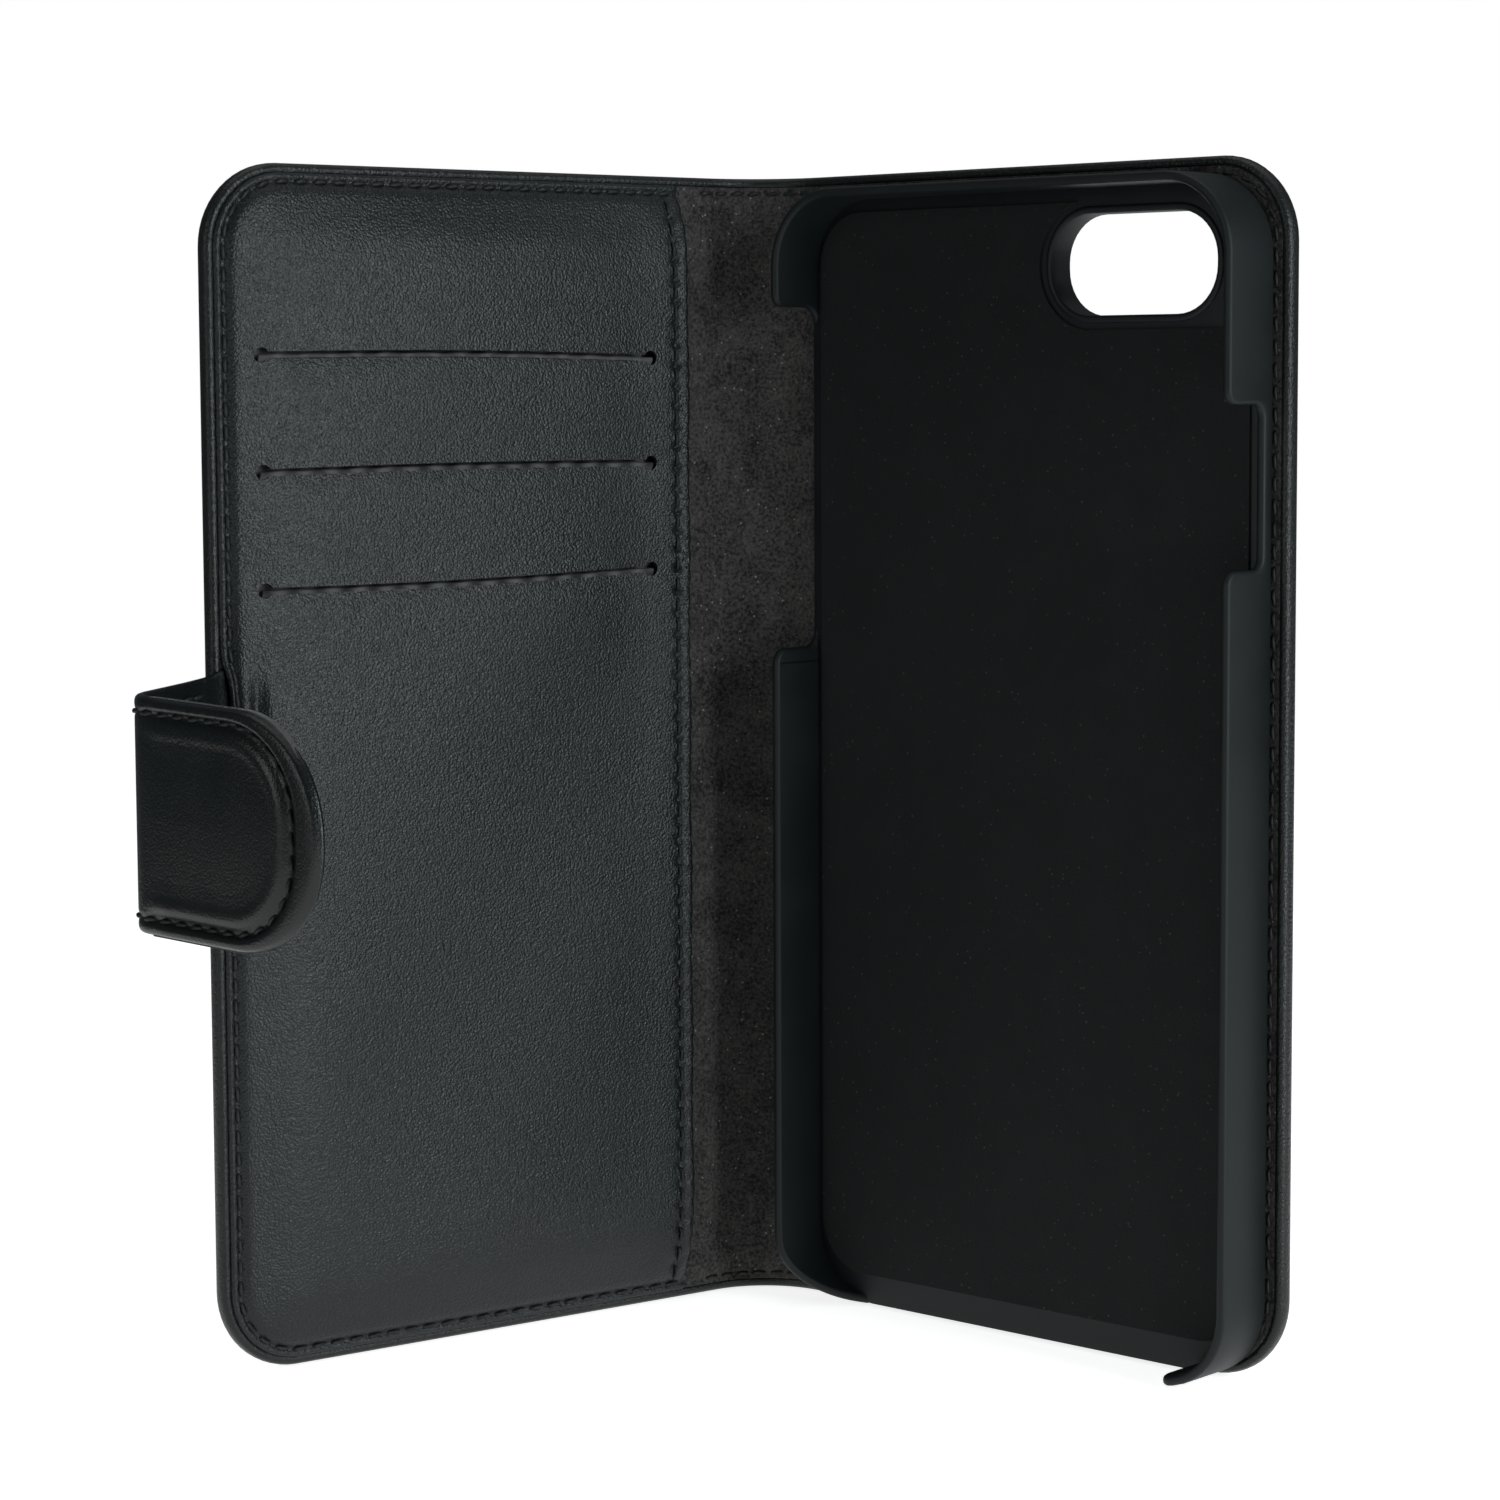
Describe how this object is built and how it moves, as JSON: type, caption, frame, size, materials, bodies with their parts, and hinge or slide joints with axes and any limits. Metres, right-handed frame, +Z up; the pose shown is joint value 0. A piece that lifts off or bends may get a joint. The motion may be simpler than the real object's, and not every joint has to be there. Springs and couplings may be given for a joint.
{
  "type": "phone wallet case",
  "caption": "Book-style leather phone case: a moulded phone tray on the back cover, card slits in the front cover, a soft spine and a magnetic closing strap.",
  "frame": {"origin": "under the middle of the half-open case, on the surface it stands on", "axes": "+Z up along the spine; the case opens towards -Y; the front cover with the card slits is on -X and the back cover with the phone tray on +X"},
  "size_m": [0.1322, 0.0816, 0.143],
  "materials": {
    "leather": "fine-grained black PU leather, semi-matt",
    "thread": "black polyester thread",
    "board": "grey fibreboard",
    "tray": "black soft-touch moulding",
    "microfibre": "black microfibre",
    "suede_lining": "black-brown suede-look lining",
    "pocket_cloth": "thin black ribbed polyester",
    "glue": "double-sided adhesive sheet",
    "steel": "zinc-plated sheet",
    "magnet": "nickel-plated magnet",
    "foam": "closed-cell foam"
  },
  "bodies": {
    "back_cover": {"back_outer_skin": "leather", "back_board": "board", "back_inner_lining": "suede_lining", "back_stitching": "thread", "strap_catch_plate": "steel", "tray_glue_sheet": "glue", "phone_tray": "tray", "tray_liner": "microfibre"},
    "spine": {"spine_outer_skin": "leather", "spine_lining": "suede_lining", "spine_stitching": "thread"},
    "front_cover": {"front_outer_skin": "leather", "front_board": "board", "front_inner_lining": "suede_lining", "card_panel": "leather", "card_panel_hem": "leather", "card_pocket_top": "pocket_cloth", "card_pocket_middle": "pocket_cloth", "card_pocket_bottom": "pocket_cloth", "pocket_backing": "pocket_cloth", "front_stitching": "thread", "panel_hem_stitching": "thread", "strap_tail": "leather"},
    "strap_neck": {"strap_neck_outer": "leather", "strap_neck_inner": "leather", "strap_neck_stitching": "thread"},
    "strap_tab": {"strap_tab_outer": "leather", "strap_tab_inner": "leather", "strap_tab_filler": "foam", "strap_magnet": "magnet", "strap_tab_stitching": "thread"}
  },
  "joints": [
    {"name": "spine_fold", "type": "hinge", "parent": "back_cover", "child": "spine", "pos_m": [0.00964, 0.04008, 0.07], "axis": [0, 0, 1], "range_deg": [-129.3, 50.7]},
    {"name": "front_fold", "type": "hinge", "parent": "spine", "child": "front_cover", "pos_m": [-0.00476, 0.04008, 0.07], "axis": [0, 0, 1], "range_deg": [-129.3, 50.7]},
    {"name": "strap_root_bend", "type": "hinge", "parent": "front_cover", "child": "strap_neck", "pos_m": [-0.06068, -0.00828, 0.0697], "axis": [0, 0, 1], "range_deg": [-30, 60]},
    {"name": "strap_tip_bend", "type": "hinge", "parent": "strap_neck", "child": "strap_tab", "pos_m": [-0.06584, -0.02193, 0.06901], "axis": [0, 0, 1], "range_deg": [-74.5, 15.5]}
  ],
  "couplings": [
    {"joint": "front_fold", "follows": "spine_fold", "ratio": 1}
  ]
}
